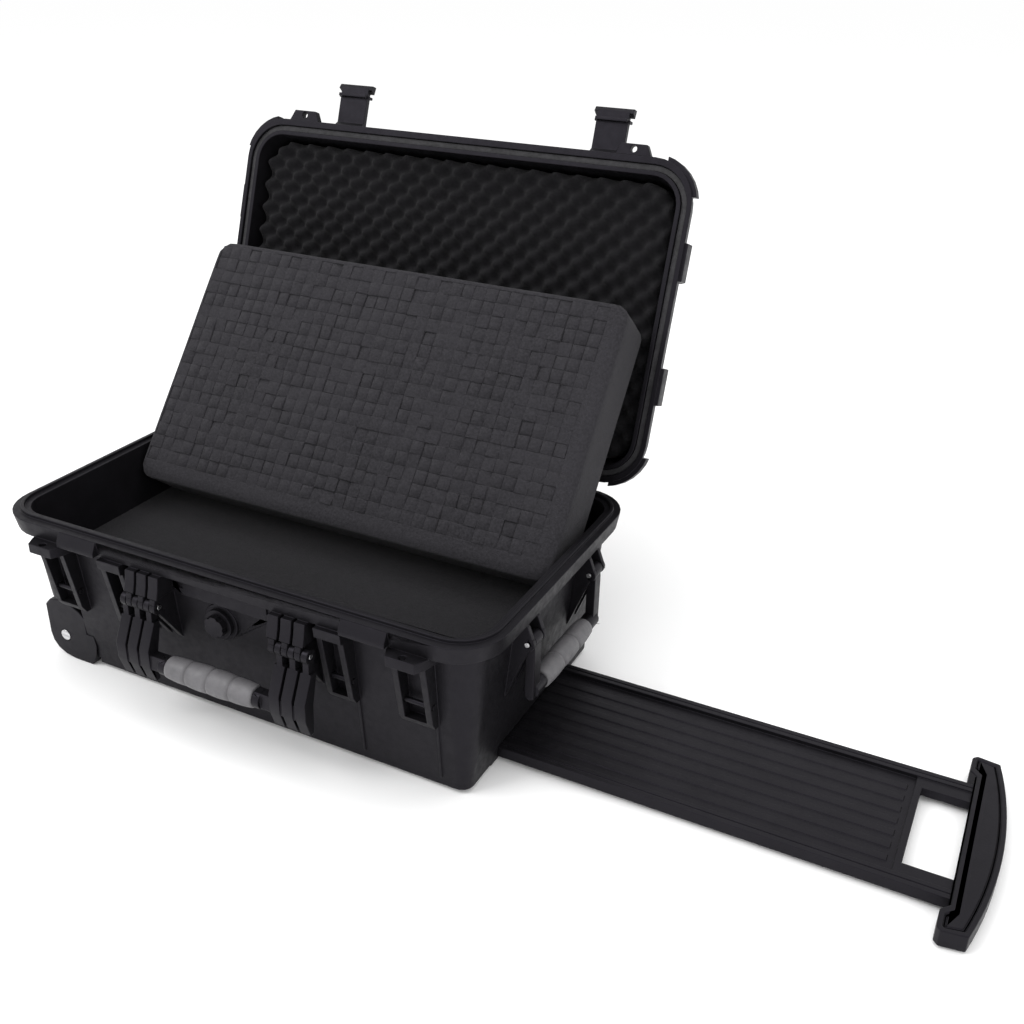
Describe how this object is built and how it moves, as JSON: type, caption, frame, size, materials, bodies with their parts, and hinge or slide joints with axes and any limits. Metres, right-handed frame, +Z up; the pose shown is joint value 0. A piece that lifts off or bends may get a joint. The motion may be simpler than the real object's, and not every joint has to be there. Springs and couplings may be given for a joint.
{
  "type": "rolling tool box",
  "caption": "Wheeled hard tool case with hinged lid, foam set, folding front and side handles, latches, pressure valve and a pull-out trolley handle.",
  "frame": {"origin": "on the floor, under the middle of the case body", "axes": "+X towards the trolley end, -Y towards the latches and front handle, +Z up"},
  "size_m": [0.9535, 0.532, 0.5284],
  "materials": {
    "shell": "matte black moulded polymer",
    "fittings": "satin black moulded polymer",
    "grip": "grey soft-touch overmould",
    "rubber": "black rubber",
    "steel": "plain steel pins and screws",
    "foam": "charcoal polyurethane foam, pluck cut",
    "dark_foam": "dark polyurethane foam"
  },
  "bodies": {
    "base": {"base_shell": "shell", "base_foam_pad": "dark_foam", "base_foam_layer": "dark_foam", "hinge_pin_left": "steel", "hinge_pin_middle": "steel", "hinge_pin_right": "steel", "front_handle_pin_left": "steel", "front_handle_pin_right": "steel", "side_handle_pin_front": "steel", "side_handle_pin_rear": "steel", "foot_front": "rubber", "foot_rear": "rubber", "cover_screw_1": "steel", "cover_screw_2": "steel", "cover_screw_3": "steel", "cover_screw_4": "steel", "trolley_cover": "fittings", "wheel_housing_front": "fittings", "wheel_housing_rear": "fittings", "axle_front": "steel", "axle_rear": "steel", "valve_body": "fittings", "rib_pin_left_inner": "fittings", "rib_pin_left_outer": "fittings", "rib_pin_right_inner": "fittings", "rib_pin_right_outer": "fittings"},
    "lid": {"lid_shell": "shell", "lid_seal": "rubber", "lid_foam": "dark_foam", "latch_pin_left": "steel", "latch_pin_right": "steel"},
    "latch_lever_left": {"latch_left": "fittings"},
    "latch_lever_right": {"latch_right": "fittings"},
    "front_handle": {"front_handle_frame": "fittings", "front_handle_grip": "grip"},
    "side_handle": {"side_handle_frame": "fittings", "side_handle_grip": "grip"},
    "trolley": {"trolley_plate": "fittings", "trolley_grip": "fittings"},
    "wheel_front": {"wheel_hub_front": "fittings", "wheel_tyre_front": "rubber"},
    "wheel_rear": {"wheel_hub_rear": "fittings", "wheel_tyre_rear": "rubber"},
    "valve": {"valve_knob": "fittings"},
    "lifted_foam": {"foam_block": "foam"}
  },
  "joints": [
    {"name": "lid_hinge", "type": "hinge", "parent": "base", "child": "lid", "pos_m": [0, 0.1715, 0.1743], "axis": [1, 0, 0], "range_deg": [0, 109.5]},
    {"name": "latch_left_turn", "type": "hinge", "parent": "lid", "child": "latch_lever_left", "pos_m": [-0.16, 0.30479, 0.48089], "axis": [1, 0, 0], "range_deg": [0, 90]},
    {"name": "latch_right_turn", "type": "hinge", "parent": "lid", "child": "latch_lever_right", "pos_m": [0.16, 0.30479, 0.48089], "axis": [1, 0, 0], "range_deg": [0, 90]},
    {"name": "foam_tilt", "type": "hinge", "parent": "base", "child": "lifted_foam", "pos_m": [0, -0.04505, 0.31249], "axis": [-1, 0, 0], "range_deg": [0, 51.51], "deforming": ["foam_block"]},
    {"name": "front_handle_lift", "type": "hinge", "parent": "base", "child": "front_handle", "pos_m": [0, -0.169, 0.126], "axis": [-1, 0, 0], "range_deg": [0, 90]},
    {"name": "side_handle_lift", "type": "hinge", "parent": "base", "child": "side_handle", "pos_m": [0.271, 0, 0.139], "axis": [0, -1, 0], "range_deg": [0, 90]},
    {"name": "trolley_slide", "type": "slide", "parent": "base", "child": "trolley", "axis": [-1, 0, 0], "range_m": [0, 0.39]},
    {"name": "wheel_front_roll", "type": "hinge", "parent": "base", "child": "wheel_front", "pos_m": [-0.232, -0.119, 0.027], "axis": [0, 1, 0], "continuous": true},
    {"name": "wheel_rear_roll", "type": "hinge", "parent": "base", "child": "wheel_rear", "pos_m": [-0.232, 0.119, 0.027], "axis": [0, 1, 0], "continuous": true},
    {"name": "valve_turn", "type": "hinge", "parent": "base", "child": "valve", "pos_m": [-0.01, -0.15221, 0.115], "axis": [0, 1, 0], "range_deg": [0, 180]}
  ],
  "couplings": [
    {"joint": "foam_tilt", "follows": "lid_hinge", "ratio": 0.47032}
  ]
}
